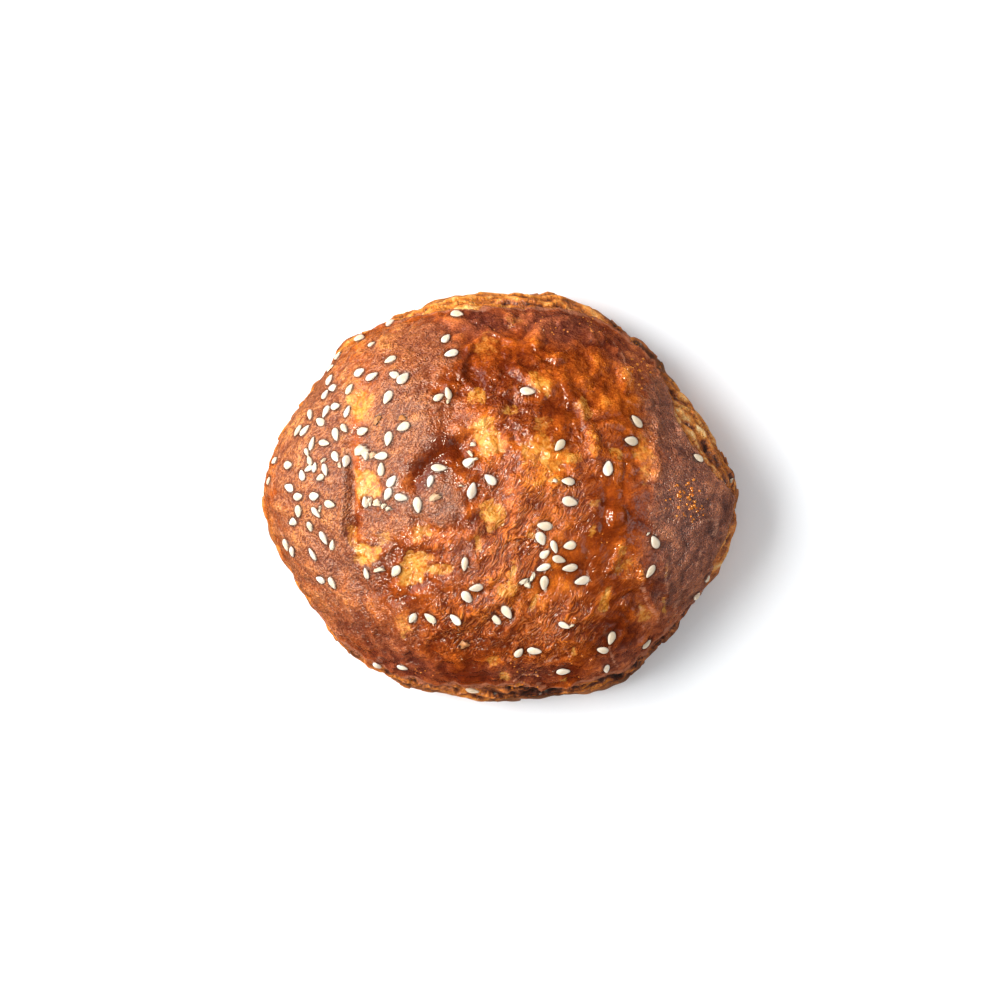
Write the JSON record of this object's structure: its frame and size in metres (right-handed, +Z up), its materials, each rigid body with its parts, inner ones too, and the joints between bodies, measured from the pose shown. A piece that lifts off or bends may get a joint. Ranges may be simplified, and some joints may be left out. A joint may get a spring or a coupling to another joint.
{
  "type": "bread roll",
  "caption": "Glazed bread roll with a browned, blistered top, a layered side and sesame seeds lying on its crust, standing on its flat base.",
  "frame": {"origin": "middle of the roll's plan box, on the flat underside", "axes": "+Z up, +X along the roll's longest side, +Y across it"},
  "size_m": [0.114, 0.098, 0.0467],
  "materials": {
    "crust": "baked crust under a shiny egg glaze, red-brown with amber patches",
    "sesame": "hulled sesame, satin ivory"
  },
  "bodies": {
    "root": {"bread_roll": "crust", "sesame_seed_01": "sesame", "sesame_seed_02": "sesame", "sesame_seed_03": "sesame", "sesame_seed_04": "sesame", "sesame_seed_05": "sesame", "sesame_seed_06": "sesame", "sesame_seed_07": "sesame", "sesame_seed_08": "sesame", "sesame_seed_09": "sesame", "sesame_seed_10": "sesame", "sesame_seed_11": "sesame", "sesame_seed_12": "sesame", "sesame_seed_13": "sesame", "sesame_seed_14": "sesame", "sesame_seed_15": "sesame", "sesame_seed_16": "sesame", "sesame_seed_17": "sesame", "sesame_seed_18": "sesame", "sesame_seed_19": "sesame", "sesame_seed_20": "sesame", "sesame_seed_21": "sesame", "sesame_seed_22": "sesame", "sesame_seed_23": "sesame", "sesame_seed_24": "sesame", "sesame_seed_25": "sesame", "sesame_seed_26": "sesame", "sesame_seed_27": "sesame", "sesame_seed_28": "sesame", "sesame_seed_29": "sesame", "sesame_seed_30": "sesame", "sesame_seed_31": "sesame", "sesame_seed_32": "sesame", "sesame_seed_33": "sesame", "sesame_seed_34": "sesame", "sesame_seed_35": "sesame", "sesame_seed_36": "sesame", "sesame_seed_37": "sesame", "sesame_seed_38": "sesame", "sesame_seed_39": "sesame", "sesame_seed_40": "sesame", "sesame_seed_41": "sesame", "sesame_seed_42": "sesame", "sesame_seed_43": "sesame", "sesame_seed_44": "sesame", "sesame_seed_45": "sesame", "sesame_seed_46": "sesame", "sesame_seed_47": "sesame", "sesame_seed_48": "sesame", "sesame_seed_49": "sesame", "sesame_seed_50": "sesame", "sesame_seed_51": "sesame", "sesame_seed_52": "sesame", "sesame_seed_53": "sesame", "sesame_seed_54": "sesame", "sesame_seed_55": "sesame", "sesame_seed_56": "sesame", "sesame_seed_57": "sesame", "sesame_seed_58": "sesame", "sesame_seed_59": "sesame"}
  },
  "joints": []
}
